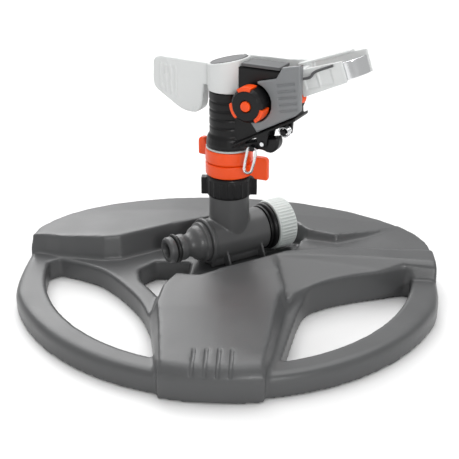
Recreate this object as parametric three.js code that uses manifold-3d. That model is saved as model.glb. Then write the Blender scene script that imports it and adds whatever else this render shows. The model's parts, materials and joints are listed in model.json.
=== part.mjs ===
// Impact sprinkler on a ring sled base: a low open base carries a tee with a hose nipple and a
// blanking cap, and an impact head turns on the riser between two adjustable stop rings.
// Millimetres, +Z up. The origin is on the ground, on the riser's axis; -Y is the front.
import * as THREE from 'three';
import { mergeVertices } from 'three/addons/utils/BufferGeometryUtils.js';
import Module from 'manifold-3d';

const wasm = await Module();
wasm.setup();

// ---------------------------------------------------------------- driving dimensions
const GAP = 0.3; // clearance between pieces that touch
const DEG = Math.PI / 180;

const RING_R = 130; // outer radius of the sled's front ring
const SIDE_TUCK = 6; // how much narrower each side is than that radius
const BASE_BACK = 72; // riser to the back edge
const RING_TOP = 13; // height of the ring and of the valley floor
const RING_WIDTH = 16; // width of the ring at the sides
const BASE_WALL = 2.6; // wall of the moulded base shell
const FAR_TOP = 30.5; // top of the crown of the far block
const FRONT_TOP = 25.5; // top of the crown of the front block
const VALLEY_HALF = 30; // half width of the channel that the tee lies in

const PIPE_Z = 27.5; // height of the tee's pipe axis
const PIPE_TURN = 34; // degrees from +X to the cap end of the pipe
const PIPE_R = 13;
const PIPE_BORE_R = 9.2;
const PIPE_INLET = 18; // riser axis to the nipple end of the pipe
const PIPE_OUTLET = 22; // riser axis to the shoulder at the cap end
const THREAD_LENGTH = 10;
const THREAD_R = 11.2;
const CAP_R = 15.8;
const CAP_LENGTH = 13.4;
const LOCK_RING_LENGTH = 5.2;

const RISER_R = 12;
const RISER_BORE_R = 8.5;
const RISER_TOP = 63.5;
const NUT_R = 13.2;
const NUT_BOTTOM = 55.2;
const NUT_LIP = 2.1;
const SLEEVE_R = 10; // bearing sleeve that the stop rings turn on
const SPINDLE_R = 7.2;
const WATER_R = 4.6; // water way in the spindle
const STOP_R = 14;
const STOP_HEIGHT = 7.7;
const STOP_TAB_T = 4;
const LOWER_TAB_REACH = 24.5;
const LOWER_TAB_RISE = 4.4; // how far the lower ring's tab stands up beside the upper ring
const UPPER_TAB_REACH = 20.6;
const UPPER_TAB_RISE = 3.2; // how far the upper ring's tab stands up beside the head's collar

const HEAD_TURN = -25; // degrees from +X to the jet, at rest
const BARREL_RISE = 27; // degrees that the jet rises
const BARREL_R = 8.2;
const BARREL_BORE_R = 3.6;
const BARREL_LENGTH = 47; // riser axis to the mouth, along the jet
const BODY_R = 11.4; // ribbed neck of the head
const BODY_HEIGHT = 32.6; // stop rings to the top of the neck
const BODY_NEAR = 8; // head's centre plane to its near side
const BODY_FAR = 4;
const COVER_T = 3;
const HUB_R = 12.2;
const HUB_HEIGHT = 17;
const HUB_SLANT = 12; // degrees that the hub's top leans up towards the jet
const PIN_R = 2;
const VANE_REACH = 48.7; // pivot to the tip of the counterweight
const VANE_T = 8;
const SPOON_REACH = 80; // pivot to the end of the deflector
const KNOB_R = 9.6;
const KNOB_DEPTH = 10;
const GRIP_DEPTH = 4.4; // how far each grip block reaches in from the knob's rim
const KNOB_X = 20.5;
const WIRE_R = 0.9;

// ---------------------------------------------------------------- heights and places that follow
const NUT_HEIGHT = RISER_TOP - NUT_BOTTOM + 2.5 + GAP + NUT_LIP;
const NUT_TOP = NUT_BOTTOM + NUT_HEIGHT;
const LOWER_STOP_Z = NUT_TOP + GAP;
const UPPER_STOP_Z = LOWER_STOP_Z + STOP_HEIGHT + GAP;
const GLIDE_Z = UPPER_STOP_Z + STOP_HEIGHT + GAP;
const GLIDE_T = 1;
const BODY_Z = GLIDE_Z + GLIDE_T + GAP;
const BODY_TOP = BODY_Z + BODY_HEIGHT;
const BARREL_Z = BODY_Z + 15; // where the jet's line crosses the riser axis
const HUB_Z = BODY_TOP + GAP;
const HUB_TOP = HUB_Z + HUB_HEIGHT; // height of the slanted top on the axis
const RISE = Math.tan(BARREL_RISE * DEG);
const jetZ = (x) => BARREL_Z + x * RISE;
const KNOB_Z = jetZ(KNOB_X) + 5.2;

// ---------------------------------------------------------------- solids and meshes
const SHORTEST_EDGE = 0.01;

// A closed geometry as a solid: vertices welded, slivers dropped, faces turned outwards.
function solid(geometry) {
  const bare = new THREE.BufferGeometry();
  bare.setAttribute('position', geometry.getAttribute('position').clone());
  if (geometry.index) bare.setIndex(geometry.index.clone());
  const welded = mergeVertices(bare, 1e-4);
  const spots = welded.getAttribute('position').array;
  const index = welded.index.array;
  const faces = [];
  let volume = 0;
  const corner = [new THREE.Vector3(), new THREE.Vector3(), new THREE.Vector3()];
  for (let i = 0; i < index.length; i += 3) {
    const [a, b, c] = [index[i], index[i + 1], index[i + 2]];
    if (a === b || b === c || c === a) continue;
    faces.push([a, b, c]);
    [a, b, c].forEach((v, k) => corner[k].fromArray(spots, 3 * v));
    volume += corner[0].dot(corner[1].cross(corner[2]));
  }
  const outward = volume < 0 ? faces.map(([a, b, c]) => [a, c, b]) : faces;
  return new wasm.Manifold(new wasm.Mesh({
    numProp: 3,
    vertProperties: new Float32Array(spots),
    triVerts: new Uint32Array(outward.flat()),
  }));
}

const join = (...parts) => parts.reduce((sum, part) => sum.add(part));
const cut = (body, ...tools) => tools.reduce((rest, tool) => rest.subtract(tool), body);

// The solid's faces as a geometry, with edges too short to matter closed up.
function geometryOf(body) {
  const mesh = body.simplify(SHORTEST_EDGE).getMesh();
  const geometry = new THREE.BufferGeometry();
  geometry.setAttribute('position', new THREE.BufferAttribute(new Float32Array(mesh.vertProperties), 3));
  geometry.setIndex(new THREE.BufferAttribute(new Uint32Array(mesh.triVerts), 1));
  geometry.computeVertexNormals();
  return geometry;
}

// ---------------------------------------------------------------- basic forms
function box(x0, x1, y0, y1, z0, z1) {
  const geometry = new THREE.BoxGeometry(x1 - x0, y1 - y0, z1 - z0);
  geometry.translate((x0 + x1) / 2, (y0 + y1) / 2, (z0 + z1) / 2);
  return geometry;
}

// A turned form about Z from [radius, height] points; a profile off the axis is closed here.
function turned(points, sides = 24) {
  const profile = points.map(([r, z]) => new THREE.Vector2(r, z));
  const first = profile[0];
  if (first.x > 0) profile.push(first.clone());
  const geometry = new THREE.LatheGeometry(profile, sides);
  geometry.rotateX(Math.PI / 2);
  return geometry;
}

const rod = (r, z0, z1, sides = 24) => turned([[0, z0], [r, z0], [r, z1], [0, z1]], sides);
const tube = (r, bore, z0, z1, sides = 24) =>
  turned([[bore, z0], [r, z0], [r, z1], [bore, z1]], sides);

// A turned form laid along +X.
function laid(points, sides) {
  const geometry = turned(points, sides);
  geometry.rotateY(Math.PI / 2);
  return geometry;
}

// An outline in X and Y pushed up from z0 to z1; its walls lean in by draft over the top lean mm.
function raised(shape, z0, z1, { draft = 0, lean = 0, steps = 1, shrink = 0, round = 6 } = {}) {
  const soft = draft > 0;
  const geometry = new THREE.ExtrudeGeometry(shape, {
    depth: z1 - z0 - (soft ? lean : 0),
    curveSegments: round,
    bevelEnabled: soft || shrink !== 0,
    bevelThickness: soft ? lean : 0,
    bevelSize: draft,
    bevelOffset: -draft - shrink,
    bevelSegments: soft ? steps : 1,
  });
  geometry.translate(0, 0, z0);
  return solid(geometry).intersect(solid(box(-999, 999, -999, 999, z0, z1 + 1)));
}

// A side outline in X and Z pushed along Y from y0 to y1.
function sided(shape, y0, y1, bevel = 0, round = 6) {
  const geometry = new THREE.ExtrudeGeometry(shape, {
    depth: y1 - y0 - 2 * bevel,
    curveSegments: round,
    bevelEnabled: bevel > 0,
    bevelThickness: bevel,
    bevelSize: bevel,
    bevelOffset: -bevel,
    bevelSegments: 1,
  });
  geometry.translate(0, 0, bevel);
  geometry.rotateX(Math.PI / 2);
  geometry.translate(0, y1, 0);
  return geometry;
}

function polygon(points) {
  return new THREE.Shape(points.map(([x, y]) => new THREE.Vector2(x, y)));
}

// A round wire through the given points.
function wire(points, radius, steps) {
  const path = new THREE.CatmullRomCurve3(points.map((p) => new THREE.Vector3(...p)), false, 'centripetal');
  const section = new THREE.Shape();
  section.absarc(0, 0, radius, 0, 2 * Math.PI, false);
  return new THREE.ExtrudeGeometry(section, {
    steps,
    curveSegments: 4,
    bevelEnabled: false,
    extrudePath: path,
  });
}

class Helix extends THREE.Curve {
  constructor(radius, rise, turns) {
    super();
    Object.assign(this, { radius, rise, turns });
  }

  getPoint(t, target = new THREE.Vector3()) {
    const angle = 2 * Math.PI * this.turns * t;
    return target.set(this.radius * Math.cos(angle), this.radius * Math.sin(angle), this.rise * t);
  }
}

function coil(radius, wireR, rise, turns, stepsPerTurn = 10) {
  const section = new THREE.Shape();
  section.absarc(0, 0, wireR, 0, 2 * Math.PI, false);
  return new THREE.ExtrudeGeometry(section, {
    steps: Math.round(turns * stepsPerTurn),
    curveSegments: 3,
    bevelEnabled: false,
    extrudePath: new Helix(radius, rise, turns),
  });
}

// ---------------------------------------------------------------- finishes
const PAINT = {
  base: ['#77787a', 0.5, 0],
  tee: ['#5c5d60', 0.45, 0],
  black: ['#1b1c1e', 0.5, 0],
  orange: ['#f15a1c', 0.45, 0],
  light: ['#d9dbda', 0.4, 0],
  cover: ['#85878a', 0.45, 0],
  cap: ['#b4b9b6', 0.5, 0],
  rubber: ['#101010', 0.8, 0],
  steel: ['#c9cbcd', 0.25, 1],
  dark: ['#56585b', 0.5, 0],
  brass: ['#c8a24e', 0.3, 1],
};

const root = new THREE.Group();

function place(group, name, body, finish) {
  const [color, roughness, metalness] = PAINT[finish];
  const geometry = body.isBufferGeometry ? geometryOf(solid(body)) : geometryOf(body);
  const mesh = new THREE.Mesh(geometry, new THREE.MeshStandardMaterial({ color, roughness, metalness }));
  mesh.name = name;
  group.add(mesh);
  return mesh;
}

// ---------------------------------------------------------------- base
const CURVE_STEPS = 32; // flats along each curve of the base's outline
const OPENING_STEPS = 20; // flats along each curve of the two openings

const alongPipe = ([u, v]) => {
  const turn = PIPE_TURN * DEG;
  return [u * Math.cos(turn) - v * Math.sin(turn), u * Math.sin(turn) + v * Math.cos(turn)];
};

const HALF_WIDTH = RING_R - SIDE_TUCK;

// Round front, nearly straight sides and a long flat back.
function baseOutline() {
  const reach = Math.asin((HALF_WIDTH - SIDE_TUCK) / RING_R);
  const arcEnd = [RING_R * Math.sin(reach), -RING_R * Math.cos(reach)];
  const turnIn = arcEnd[1] + SIDE_TUCK * Math.tan(reach);
  const outline = new THREE.Shape();
  outline.absarc(0, 0, RING_R, -Math.PI / 2 - reach, -Math.PI / 2 + reach, false);
  outline.quadraticCurveTo(HALF_WIDTH, turnIn, HALF_WIDTH, 0);
  const squareness = 2 / 2.15;
  const backSteps = 18;
  for (let i = 1; i < backSteps; i += 1) {
    const t = (Math.PI * i) / backSteps;
    const side = Math.sign(Math.cos(t));
    outline.lineTo(
      side * HALF_WIDTH * Math.abs(Math.cos(t)) ** squareness,
      BASE_BACK * Math.sin(t) ** squareness,
    );
  }
  outline.lineTo(-HALF_WIDTH, 0);
  outline.quadraticCurveTo(-HALF_WIDTH, turnIn, -arcEnd[0], arcEnd[1]);
  return outline;
}

const OPEN_CENTRE_Y = -8;
const openR = RING_R - RING_WIDTH - 4.5;
const openAt = (x, y) => Math.atan2(y - OPEN_CENTRE_Y, x);
const onOpenArc = (x) => [x, OPEN_CENTRE_Y - Math.sqrt(openR ** 2 - x ** 2)];

function leftOpening() {
  const start = onOpenArc(-31);
  const end = [-openR + 6, -9];
  const shape = new THREE.Shape();
  shape.moveTo(...end);
  shape.splineThru([[-88, -15], [-73, -24], [-58, -41], [-46, -59], [-38, -79]].map(
    ([x, y]) => new THREE.Vector2(x, y),
  ));
  shape.lineTo(...start);
  shape.absarc(0, OPEN_CENTRE_Y, openR, openAt(...start), openAt(-openR, -14), true);
  return shape;
}

function rightOpening() {
  const start = onOpenArc(32);
  const shape = new THREE.Shape();
  shape.moveTo(...start);
  shape.absarc(0, OPEN_CENTRE_Y, openR, openAt(...start), openAt(openR, -24), false);
  shape.splineThru([[openR - 6, -22], [89, -27], [72, -33], [56, -41], [46, -50], [41, -66]].map(
    ([x, y]) => new THREE.Vector2(x, y),
  ));
  return shape;
}

const triangle = () => polygon([
  [-50, -33], [-35.5, -54], [-30, -41], [-23, -33], [-23, -9], [-44, -9], [-53, -20],
]);

// The far block: its front wall runs across, then beside the pipe, round the cap and off to the side.
const CAP_END = PIPE_OUTLET + GAP + LOCK_RING_LENGTH + GAP + CAP_LENGTH;
const POCKET_END = CAP_END + 5;
function farBlock() {
  const wallStart = alongPipe([-55, VALLEY_HALF]);
  return polygon([
    [-220, 6], [-114, -2], [-104, -6], [-76, -10], [wallStart[0] - 3, wallStart[1] - 2],
    alongPipe([POCKET_END, VALLEY_HALF]), alongPipe([POCKET_END, -CAP_R]),
    [66, 8], [85, 18], [107, 34], [220, 90], [220, 220], [-220, 220],
  ]);
}

// The front block with the arm that runs from it to the right-hand side.
const frontFoot = () => polygon([
  [-27, -134], [24, -134], [29, -105], [34.5, -68], [41, -54], [56, -43], [72, -35], [89, -29],
  [openR - 6, -24], [180, -26], [180, 0], [116, 1], [96, -1], [76, 0], [56, -3],
  alongPipe([22, -VALLEY_HALF + 4]), alongPipe([-36, -VALLEY_HALF + 4]), [-30, -40], [-37, -56],
  [-38, -76], [-34, -95],
]);

const armBack = () => polygon([
  alongPipe([20, -VALLEY_HALF]), [76, -12], [180, -12], [180, 26], [107, 38], [85, 24], [60, 12],
  alongPipe([POCKET_END - GAP, -CAP_R + 4]), alongPipe([POCKET_END - 10, -CAP_R - 5]),
]);

// The front block's nose rolls over to the ground in a quarter ellipse.
const FRONT_BEND_X = 2000; // radii of the front block's crown, across and along
const FRONT_BEND_Y = 700;
const NOSE_R = RING_R + 3;
const NOSE_TOP = 21.5;
const NOSE_ROLL = 16; // how far in the roll starts
const NOSE_DROP = 10.5; // how far down it goes
const NOSE_HALF = 32;
const NOSE_START = -112;

// A slab with a gently domed top, from which the raised blocks take their upper surface.
function dome(cx, cy, top, radiusX, radiusY) {
  const reach = 280;
  const cells = 14;
  const geometry = new THREE.BoxGeometry(2 * reach, 2 * reach, 1, cells, cells, 1);
  const spots = geometry.getAttribute('position');
  for (let i = 0; i < spots.count; i += 1) {
    const upper = spots.getZ(i) > 0;
    const x = spots.getX(i);
    const y = spots.getY(i);
    const fall = (x - cx) ** 2 / (2 * radiusX) + (y - cy) ** 2 / (2 * radiusY);
    spots.setZ(i, upper ? top - fall : -60);
  }
  return solid(geometry);
}

// The sloping near face of the arm, from its ridge down to the edge of the right opening.
function armSlope(drop) {
  const geometry = new THREE.BoxGeometry(1, 1, 1);
  const spots = geometry.getAttribute('position');
  const ridge = [[28, -20, 24.5], [180, -10, 24.5]];
  const foot = [[36, -70, 15.5], [180, -34, 12]];
  for (let i = 0; i < spots.count; i += 1) {
    const end = spots.getX(i) > 0 ? 1 : 0;
    const [x, y, z] = spots.getY(i) > 0 ? ridge[end] : foot[end];
    spots.setXYZ(i, x, y, spots.getZ(i) > 0 ? 60 : z - drop);
  }
  return solid(geometry);
}

function baseBody(shrink) {
  const outline = baseOutline();
  const footing = shrink === 0 ? 0 : -1;
  const ring = raised(outline, footing, RING_TOP - shrink, {
    draft: 4, lean: 4, steps: 2, shrink, round: CURVE_STEPS,
  });
  const bound = raised(outline, footing, FAR_TOP + 4, {
    draft: 9, lean: 21, steps: 3, shrink: shrink + 0.3, round: CURVE_STEPS,
  });
  const farTop = dome(-20, -60, FAR_TOP - shrink, 1100, 1100);
  const far = raised(farBlock(), footing, FAR_TOP + 4, { draft: 5, lean: 19, steps: 1, shrink })
    .intersect(farTop).intersect(bound);
  const frontTop = dome(20, -34, FRONT_TOP - shrink, FRONT_BEND_X, FRONT_BEND_Y);
  const frontBound = new THREE.Shape();
  frontBound.absarc(0, 0, NOSE_R, 0, 2 * Math.PI, false);
  const sideBound = raised(outline, footing, FAR_TOP + 4, {
    draft: 5, lean: 16, steps: 2, shrink: shrink + 0.5, round: CURVE_STEPS,
  });
  const noseSpace = solid(box(-NOSE_HALF, NOSE_HALF, -200, NOSE_START, -2, 60));
  const nose = raised(frontBound, footing, NOSE_TOP - shrink, {
    draft: NOSE_ROLL, lean: NOSE_DROP, steps: 5, shrink, round: CURVE_STEPS,
  }).intersect(noseSpace);
  const front = cut(
    raised(frontFoot(), footing, FAR_TOP, { draft: 7, lean: 16, steps: 1, shrink })
      .intersect(frontTop).intersect(join(cut(sideBound, noseSpace), nose)),
    armSlope(shrink),
  );
  const channel = raised(armBack(), footing, 19.2 - shrink, { shrink }).intersect(sideBound);
  const whole = join(ring, far, front, channel);
  const troughR = CAP_R + 1.2 + shrink;
  const troughEnds = [PIPE_OUTLET - 3 - shrink, POCKET_END + shrink];
  const trough = laid(
    [[0, troughEnds[0]], [troughR, troughEnds[0]], [troughR, troughEnds[1]], [0, troughEnds[1]]],
    28,
  );
  trough.rotateZ(PIPE_TURN * DEG);
  trough.translate(0, 0, PIPE_Z);
  return cut(
    whole,
    raised(leftOpening(), -5, 60, { shrink: -shrink, round: OPENING_STEPS }),
    raised(rightOpening(), -5, 60, { shrink: -shrink, round: OPENING_STEPS }),
    raised(triangle(), -5, 60, { shrink: -shrink }),
    solid(trough),
  );
}

// Points that stand lift mm off the nose: on its crown, and at an angle down its roll.
const GROOVE_R = 1.25;
const onCrown = (x, y, lift) => [
  x, y, FRONT_TOP - (x - 20) ** 2 / (2 * FRONT_BEND_X) - (y + 34) ** 2 / (2 * FRONT_BEND_Y) + lift,
];
const onRoll = (x, angle, lift) => {
  const r = NOSE_R - NOSE_ROLL + (NOSE_ROLL + lift) * Math.cos(angle * DEG);
  return [x, -Math.sqrt(r ** 2 - x ** 2), NOSE_TOP - NOSE_DROP + (NOSE_DROP + lift) * Math.sin(angle * DEG)];
};

const SADDLE_SCREWS = [-12, 12];
const SCREW_R = 2;
const SCREW_HEAD_R = 4;
const FLOOR_UNDER = RING_TOP - BASE_WALL;

function baseShell() {
  const outer = baseBody(0);
  const inner = baseBody(BASE_WALL);
  const pillarR = 6.5;
  const pillar = solid(rod(pillarR, 0, RING_TOP - 1, 24));
  const ribT = 2;
  const ribFoot = 3;
  const ribs = [PIPE_TURN + 90, PIPE_TURN].map((turn) => {
    const rib = box(-160, 160, -ribT / 2, ribT / 2, ribFoot, 30);
    rib.rotateZ(turn * DEG);
    return solid(rib);
  });
  const grooves = [-10.7, -4.4, 1.9, 8.2].map((x) => solid(wire([
    onCrown(x, -114.5, 1.4), onCrown(x, -118, 0.35), onCrown(x, -123, 0.35),
    onRoll(x, 45, 0.35), onRoll(x, 28, 0.35), onRoll(x, 16, 1.4),
  ], GROOVE_R, 16)));
  const screwHoles = SADDLE_SCREWS.map((u) => {
    const hole = rod(SCREW_R + GAP, 5, RING_TOP + 5, 16);
    hole.translate(...alongPipe([u, 0]), 0);
    return solid(hole);
  });
  const clearance = SADDLE_SCREWS.map((u) => {
    const well = rod(SCREW_HEAD_R + 1, -1, FLOOR_UNDER, 20);
    well.translate(...alongPipe([u, 0]), 0);
    return solid(well);
  });
  const inside = cut(join(pillar, ...ribs), ...clearance).intersect(outer);
  return cut(join(cut(outer, inner), inside), ...grooves, ...screwHoles);
}

place(root, 'base_shell', baseShell(), 'base');

// ---------------------------------------------------------------- tee and its fittings
const pipe = new THREE.Group();
pipe.position.z = PIPE_Z;
pipe.rotation.z = PIPE_TURN * DEG;
root.add(pipe);

const SADDLE_FOOT = RING_TOP + GAP - PIPE_Z;
const SADDLE_HALF = 17;
const SADDLE_W = 9;

function teeBody() {
  const flange = 2.4;
  const outer = join(
    solid(laid([[0, -PIPE_INLET], [PIPE_R + 0.9, -PIPE_INLET], [PIPE_R + 0.9, flange - PIPE_INLET],
      [PIPE_R, flange - PIPE_INLET + 0.6], [PIPE_R, PIPE_OUTLET], [THREAD_R - 0.5, PIPE_OUTLET],
      [THREAD_R - 0.5, PIPE_OUTLET + LOCK_RING_LENGTH + 0.9],
      [THREAD_R, PIPE_OUTLET + LOCK_RING_LENGTH + 1.5], [THREAD_R, PIPE_OUTLET + THREAD_LENGTH],
      [0, PIPE_OUTLET + THREAD_LENGTH]], 28)),
    solid(rod(RISER_R, 0, RISER_TOP - PIPE_Z, 28)),
    solid(box(-SADDLE_HALF, SADDLE_HALF, -SADDLE_W, SADDLE_W, SADDLE_FOOT, 0)),
    ...[-9, 15].flatMap((x) => [-1, 1].map((side) => {
      const outline = [[0, SADDLE_FOOT], [PIPE_R + 5, SADDLE_FOOT], [PIPE_R - 1, -3], [0, -3]];
      const web = sided(polygon(outline), 0, 1.4);
      web.rotateZ((side * Math.PI) / 2);
      web.translate(x, 0, 0);
      return solid(web);
    })),
  );
  return cut(
    outer,
    solid(laid([[0, -40], [PIPE_BORE_R, -40], [PIPE_BORE_R, 60], [0, 60]], 24)),
    solid(rod(RISER_BORE_R, 0, 60, 28)),
    ...SADDLE_SCREWS.map((u) => {
      const hole = rod(SCREW_R + GAP, SADDLE_FOOT - 1, -PIPE_BORE_R - 1.6, 16);
      hole.translate(u, 0, 0);
      return solid(hole);
    }),
  );
}

place(pipe, 'tee_body', teeBody(), 'tee');

function crossHeadScrew(length) {
  const headT = 2.2;
  const body = solid(turned([[0, 0], [SCREW_HEAD_R - 0.8, 0], [SCREW_HEAD_R, headT - 0.6],
    [SCREW_HEAD_R, headT], [SCREW_R, headT], [SCREW_R, length - 1], [SCREW_R - 1, length], [0, length]], 20));
  const slot = 0.5;
  const bar = 2.2;
  return cut(body, solid(box(-bar, bar, -slot, slot, -1, 1)), solid(box(-slot, slot, -bar, bar, -1, 1)));
}

SADDLE_SCREWS.forEach((u, i) => {
  const screw = place(pipe, `saddle_screw_${i + 1}`, crossHeadScrew(8.4), 'steel');
  screw.position.set(u, 0, FLOOR_UNDER - PIPE_Z - 2.2 - GAP);
});

// Hose nipple: stub in the tee, shoulder, waisted body for the quick coupling and an O-ring groove.
const NIPPLE_BORE = 4.9;
const STUB_R = PIPE_BORE_R - GAP;
const nippleFace = -PIPE_INLET - GAP;
place(pipe, 'hose_nipple', laid([
  [NIPPLE_BORE, nippleFace - 24.6], [6.9, nippleFace - 24.6], [7.7, nippleFace - 23.8],
  [7.7, nippleFace - 20.6], [6.2, nippleFace - 20.4], [6.2, nippleFace - 17.6], [7.7, nippleFace - 17.4],
  [7.9, nippleFace - 13.4], [7.0, nippleFace - 12.2], [6.8, nippleFace - 10.6], [7.4, nippleFace - 9],
  [9.6, nippleFace - 6.6], [10.4, nippleFace - 5], [10.6, nippleFace - 3], [12.2, nippleFace - 2.4],
  [12.2, nippleFace], [STUB_R, nippleFace], [STUB_R, nippleFace + 9], [NIPPLE_BORE + 1.5, nippleFace + 9],
  [NIPPLE_BORE + 1.5, nippleFace + 2], [NIPPLE_BORE, nippleFace + 1],
], 24), 'tee');

function ringOf(radius, thick, along, sides = 24) {
  const points = [];
  const around = 6;
  for (let i = 0; i < around; i += 1) {
    const a = (2 * Math.PI * i) / around;
    points.push([radius + thick * Math.cos(a), along + thick * Math.sin(a)]);
  }
  return laid(points, sides);
}

place(pipe, 'nipple_o_ring', ringOf(7.65, 1.15, nippleFace - 19), 'rubber');

// Dirt strainer: a thimble with two rows of slots, held by its rim in the nipple's stub.
function strainer() {
  const rimR = NIPPLE_BORE + 1.5 - GAP;
  const cupR = NIPPLE_BORE - GAP;
  const rim = nippleFace + 7.6;
  const cup = solid(laid([[0, rim - 14], [cupR, rim - 14], [cupR, rim - 1.4], [rimR, rim - 1.4],
    [rimR, rim], [cupR - 1, rim], [cupR - 1, rim - 13], [0, rim - 13]], 24));
  const slots = [0, 45, 90, 135].flatMap((turn) => [rim - 11.6, rim - 6.6].map((x) => {
    const slot = box(x, x + 3.4, -8, 8, -0.6, 0.6);
    slot.rotateX(turn * DEG);
    return solid(slot);
  }));
  return cut(cup, ...slots);
}

place(pipe, 'inlet_strainer', strainer(), 'steel');

// The cap end: a black ring nut on the thread, then the ribbed blanking cap with its flat washer.
const lockStart = PIPE_OUTLET + GAP;
const lockEnd = lockStart + LOCK_RING_LENGTH;
place(pipe, 'lock_ring', laid([
  [THREAD_R - 0.5 + GAP, lockStart], [13.6, lockStart], [13.6, lockStart + 1.4], [12.7, lockStart + 1.6],
  [12.7, lockStart + 2.2], [14.2, lockStart + 2.4], [14.6, lockStart + 3.6], [14.2, lockEnd],
  [THREAD_R - 0.5 + GAP, lockEnd],
], 24), 'black');

const capStart = lockEnd + GAP;
const capInner = capStart + THREAD_LENGTH - 2;
function endCap() {
  const ribs = 24;
  const flutes = new THREE.Shape();
  for (let i = 0; i < 4 * ribs; i += 1) {
    const a = (2 * Math.PI * (i + 0.5)) / (4 * ribs);
    const r = i % 4 < 2 ? CAP_R : CAP_R - 0.55;
    if (i === 0) flutes.moveTo(r * Math.cos(a), r * Math.sin(a));
    else flutes.lineTo(r * Math.cos(a), r * Math.sin(a));
  }
  const fluted = new THREE.ExtrudeGeometry(flutes, { depth: CAP_LENGTH - 2.4, bevelEnabled: false });
  fluted.translate(0, 0, capStart + 1.6);
  fluted.rotateY(Math.PI / 2);
  const core = laid([[0, capStart], [CAP_R - 0.9, capStart], [CAP_R - 0.4, capStart + 0.6],
    [CAP_R - 0.4, capStart + CAP_LENGTH - 1.2], [CAP_R - 2.4, capStart + CAP_LENGTH],
    [0, capStart + CAP_LENGTH]], 28);
  const boreR = THREAD_R + GAP;
  const hollow = laid([[0, capStart - 1], [boreR, capStart - 1], [boreR, capInner], [0, capInner]], 28);
  return cut(join(solid(fluted), solid(core)), solid(hollow));
}

place(pipe, 'end_cap', endCap(), 'cap');
place(pipe, 'end_cap_washer', laid([
  [0, capInner - GAP - 1.6], [THREAD_R - GAP, capInner - GAP - 1.6], [THREAD_R - GAP, capInner - GAP],
  [0, capInner - GAP],
], 24), 'rubber');

// ---------------------------------------------------------------- riser joint
function wingNut() {
  const grips = 20;
  const lipZ = NUT_TOP - NUT_LIP;
  const body = solid(turned([[0, NUT_BOTTOM], [NUT_R - 0.6, NUT_BOTTOM], [NUT_R, NUT_BOTTOM + 1],
    [NUT_R, NUT_TOP - 1.4], [NUT_R - 1.2, NUT_TOP], [0, NUT_TOP]], 28));
  const ribs = Array.from({ length: grips }, (_, i) => {
    const rib = box(NUT_R - 1, NUT_R + 0.5, -0.6, 0.6, NUT_BOTTOM + 1.5, NUT_TOP - 3);
    rib.rotateZ((2 * Math.PI * i) / grips);
    return solid(rib);
  });
  const wings = [0, 180].map((turn) => {
    const wing = box(NUT_R - 2, NUT_R + 3.3, -2.6, 2.6, NUT_BOTTOM, NUT_TOP - 2.6);
    wing.rotateZ(turn * DEG);
    return solid(wing);
  });
  return cut(
    join(body, ...ribs, ...wings),
    solid(rod(RISER_R + GAP, NUT_BOTTOM - 1, lipZ, 28)),
    solid(rod(SLEEVE_R + GAP, NUT_BOTTOM - 1, NUT_TOP + 1, 28)),
  );
}

place(root, 'wing_nut', wingNut(), 'black');

const SLEEVE_FOOT = RISER_TOP - 5;
place(root, 'bearing_sleeve', turned([
  [SPINDLE_R + GAP, SLEEVE_FOOT], [RISER_BORE_R - GAP, SLEEVE_FOOT], [RISER_BORE_R - GAP, RISER_TOP + GAP],
  [RISER_R - 0.6, RISER_TOP + GAP], [RISER_R - 0.6, NUT_TOP - NUT_LIP - GAP],
  [SLEEVE_R, NUT_TOP - NUT_LIP - GAP],
  [SLEEVE_R, GLIDE_Z + GLIDE_T], [SPINDLE_R + GAP, GLIDE_Z + GLIDE_T],
], 24), 'dark');

const flangeTop = SLEEVE_FOOT - 4.6;
const inRiser = (z0, z1) => tube(RISER_BORE_R - GAP, SPINDLE_R + GAP, z0, z1);
place(root, 'spindle_seal', inRiser(flangeTop + GAP, flangeTop + 2), 'rubber');
place(root, 'thrust_washer', inRiser(flangeTop + 2 + GAP, SLEEVE_FOOT - GAP), 'brass');

// Stop rings: each has one finger tab that the trip wire runs against.
function stopRing(z, tabReach, tabTurn, tabDrop, tabRise) {
  const ring = turned([[SLEEVE_R + GAP, z], [STOP_R - 0.5, z], [STOP_R, z + 0.5],
    [STOP_R, z + STOP_HEIGHT - 0.5], [STOP_R - 0.5, z + STOP_HEIGHT], [SLEEVE_R + GAP, z + STOP_HEIGHT]], 28);
  const tab = new THREE.Shape();
  const top = z + STOP_HEIGHT + tabRise;
  tab.moveTo(STOP_R - 1.6, z + 0.4);
  tab.lineTo(STOP_R - 0.4, z + 0.4);
  tab.quadraticCurveTo(STOP_R + 1.6, z + 0.2, STOP_R + 2.6, z - tabDrop);
  tab.lineTo(tabReach - 1.2, z - tabDrop);
  tab.quadraticCurveTo(tabReach, z - tabDrop, tabReach, z + 1.2 - tabDrop);
  tab.lineTo(tabReach, top - 3);
  tab.quadraticCurveTo(tabReach, top, tabReach - 3, top);
  tab.lineTo(STOP_R + 2.6, top);
  tab.quadraticCurveTo(STOP_R + 1.6, top, STOP_R + 1.4, z + STOP_HEIGHT - 0.5);
  tab.lineTo(STOP_R - 1.6, z + STOP_HEIGHT - 0.5);
  const blade = sided(tab, -STOP_TAB_T / 2, STOP_TAB_T / 2, 0.5, 4);
  blade.rotateZ(tabTurn * DEG);
  return join(solid(ring), solid(blade));
}

place(root, 'lower_stop_ring', stopRing(LOWER_STOP_Z, LOWER_TAB_REACH, -19, 1.6, LOWER_TAB_RISE), 'orange');
place(root, 'upper_stop_ring', stopRing(UPPER_STOP_Z, UPPER_TAB_REACH, 151, 0, UPPER_TAB_RISE), 'orange');
place(root, 'glide_ring', tube(STOP_R - 0.4, SLEEVE_R + GAP, GLIDE_Z, GLIDE_Z + GLIDE_T, 28), 'cap');

// ---------------------------------------------------------------- turning head
const head = new THREE.Group();
head.rotation.z = HEAD_TURN * DEG;
root.add(head);

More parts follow.
